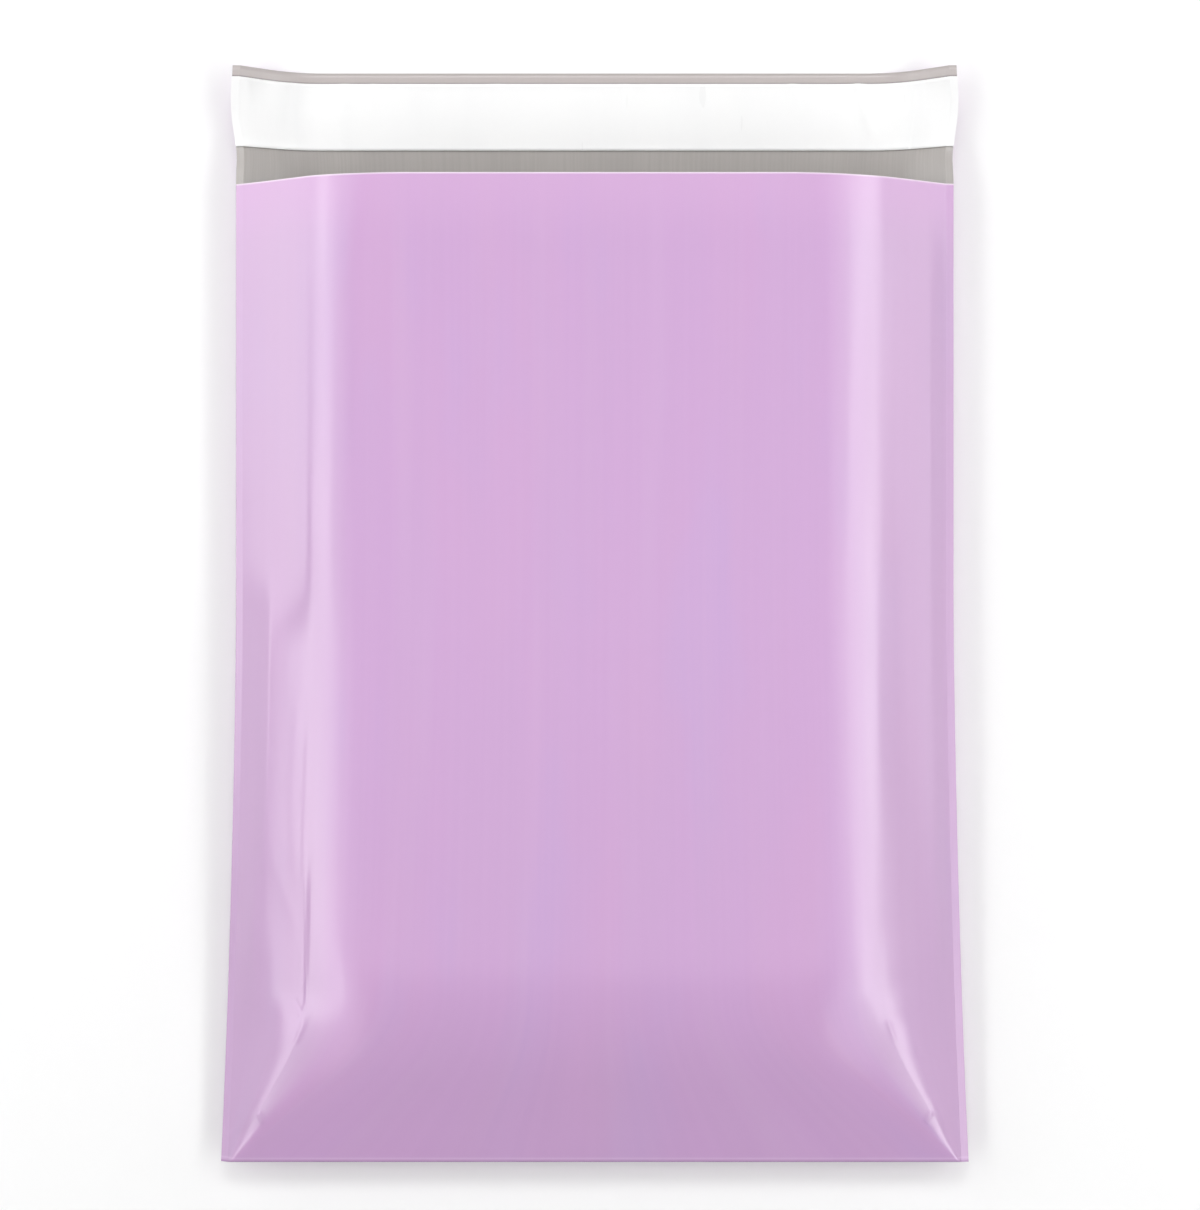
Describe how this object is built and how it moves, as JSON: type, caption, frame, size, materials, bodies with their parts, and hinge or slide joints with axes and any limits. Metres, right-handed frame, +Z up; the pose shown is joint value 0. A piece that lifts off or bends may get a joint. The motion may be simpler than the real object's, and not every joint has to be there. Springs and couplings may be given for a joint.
{
  "type": "poly mailer bag",
  "caption": "Glossy plastic mailing bag with welded sides and an open mouth, its flap carrying an adhesive strip under a peel-off liner.",
  "frame": {"origin": "below the middle of the whole bag, flap included, on the surface that it lies on", "axes": "+X across the bag, +Y from the bottom fold to the flap, +Z up out of the front panel"},
  "size_m": [0.305, 0.446, 0.0381],
  "materials": {
    "lilac_film": "glossy co-extruded polyethylene film, lilac outside and grey inside",
    "hot_melt_adhesive": "clear tacky hot-melt coating",
    "white_liner": "smooth white silicone-coated film"
  },
  "bodies": {
    "root": {"bag_film": "lilac_film", "adhesive_strip": "hot_melt_adhesive", "release_liner": "white_liner"}
  },
  "joints": []
}
